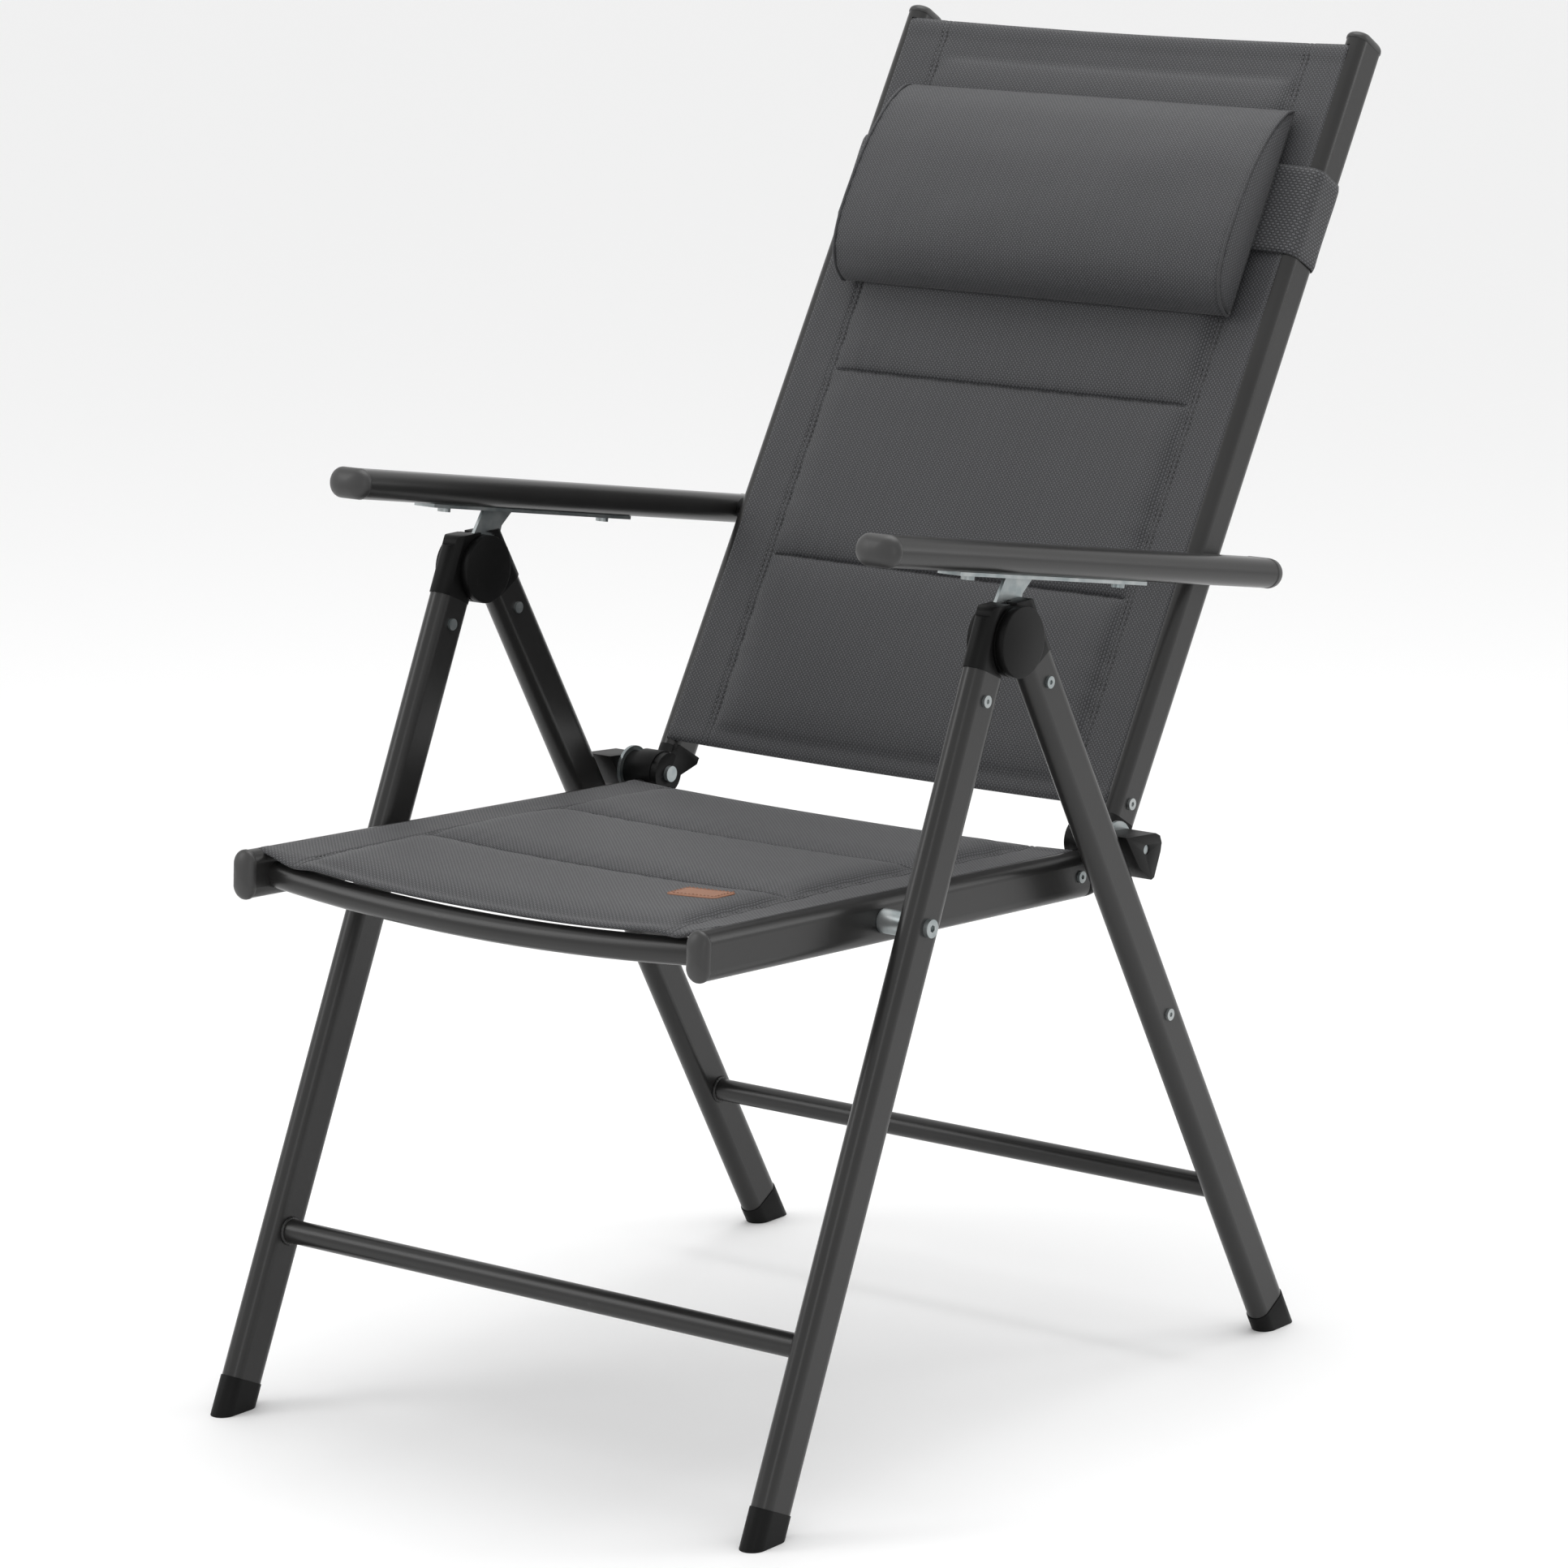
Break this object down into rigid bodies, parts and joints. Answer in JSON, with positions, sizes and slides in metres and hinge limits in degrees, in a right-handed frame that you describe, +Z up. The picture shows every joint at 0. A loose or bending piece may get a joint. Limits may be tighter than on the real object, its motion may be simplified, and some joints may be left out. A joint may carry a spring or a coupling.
{
  "type": "folding camp chair",
  "caption": "Folding high-back camp chair with oval tube frame, reclining padded mesh back, armrests and a strap-on head pillow.",
  "frame": {"origin": "middle of the bounding box on the ground", "axes": "+Z up, the sitter faces -Y, +X is the sitter's left"},
  "size_m": [0.59, 0.9524, 1.1046],
  "materials": {
    "frame_paint": "satin anthracite powder coat",
    "black_plastic": "fine matte moulded",
    "grey_plastic": "satin moulded",
    "zinc_steel": "zinc plated",
    "mesh_fabric": "woven coated mesh",
    "pillow_fabric": "fine woven",
    "strap_fabric": "elastic webbing",
    "tan_leather": "blank patch"
  },
  "bodies": {
    "front_legs": {"left_front_leg": "frame_paint", "right_front_leg": "frame_paint", "front_stretcher": "frame_paint", "left_front_foot": "black_plastic", "right_front_foot": "black_plastic", "left_front_head": "black_plastic", "right_front_head": "black_plastic", "inner_head_covers": "black_plastic", "head_pins": "zinc_steel", "head_tongues": "zinc_steel", "front_leg_rivets": "zinc_steel", "seat_pivot_bolts": "zinc_steel", "seat_spacers": "zinc_steel"},
    "rear_legs": {"left_rear_leg": "frame_paint", "right_rear_leg": "frame_paint", "rear_stretcher": "frame_paint", "left_rear_foot": "black_plastic", "right_rear_foot": "black_plastic", "left_rear_head": "black_plastic", "right_rear_head": "black_plastic", "outer_head_covers": "black_plastic", "rear_leg_rivets": "zinc_steel", "rear_leg_bolts": "zinc_steel"},
    "seat": {"left_seat_tube": "frame_paint", "right_seat_tube": "frame_paint", "front_seat_bar": "frame_paint", "left_seat_plug": "black_plastic", "right_seat_plug": "black_plastic", "left_hook": "black_plastic", "right_hook": "black_plastic", "hinge_washers": "zinc_steel", "seat_caps": "grey_plastic", "seat_tube_bolts": "zinc_steel", "seat_sling": "mesh_fabric", "seat_padding": "mesh_fabric", "seat_welts": "mesh_fabric", "seat_patch": "tan_leather"},
    "hinge_bolt_pair": {"hinge_bolts": "zinc_steel"},
    "back": {"left_back_tube": "frame_paint", "right_back_tube": "frame_paint", "back_cross_bar": "frame_paint", "left_back_plug": "black_plastic", "right_back_plug": "black_plastic", "back_caps": "grey_plastic", "back_tube_bolts": "zinc_steel", "back_sling": "mesh_fabric", "back_padding": "mesh_fabric", "back_welts": "mesh_fabric", "head_pillow": "pillow_fabric", "strap_rear_band": "strap_fabric", "strap_wraps": "strap_fabric"},
    "arm_bolt_pair": {"arm_bolts": "zinc_steel", "arm_washers": "black_plastic"},
    "arms": {"left_arm_tube": "frame_paint", "right_arm_tube": "frame_paint", "arm_caps": "grey_plastic", "arm_pivot_blocks": "black_plastic", "arm_racks": "zinc_steel", "arm_rack_screws": "zinc_steel"}
  },
  "joints": [
    {"name": "fold", "type": "hinge", "parent": "front_legs", "child": "seat", "pos_m": [0, -0.24608, 0.454], "axis": [-1, 0, 0], "range_deg": [0, 90]},
    {"name": "rear_leg_pivot", "type": "hinge", "parent": "front_legs", "child": "rear_legs", "pos_m": [0, -0.12987, 0.6656], "axis": [-1, 0, 0], "range_deg": [0, 52.5]},
    {"name": "back_hinge_bolt", "type": "hinge", "parent": "seat", "child": "hinge_bolt_pair", "pos_m": [0, 0.05887, 0.46305], "axis": [-1, 0, 0], "range_deg": [-90.5, 0]},
    {"name": "recline", "type": "hinge", "parent": "hinge_bolt_pair", "child": "back", "pos_m": [0, 0.05887, 0.46305], "axis": [-1, 0, 0], "range_deg": [-16, 8.7]},
    {"name": "arm_pivot_bolt", "type": "hinge", "parent": "back", "child": "arm_bolt_pair", "pos_m": [0, 0.20947, 0.6736], "axis": [-1, 0, 0], "range_deg": [0, 108.5]},
    {"name": "arm_pivot", "type": "hinge", "parent": "arm_bolt_pair", "child": "arms", "pos_m": [0, 0.20947, 0.6736], "axis": [-1, 0, 0], "range_deg": [-6, 11]}
  ],
  "couplings": [
    {"joint": "rear_leg_pivot", "follows": "fold", "ratio": 0.58},
    {"joint": "back_hinge_bolt", "follows": "fold", "ratio": -1},
    {"joint": "arm_pivot_bolt", "follows": "fold", "ratio": 1.2},
    {"joint": "arm_pivot", "follows": "recline", "ratio": -0.66}
  ]
}
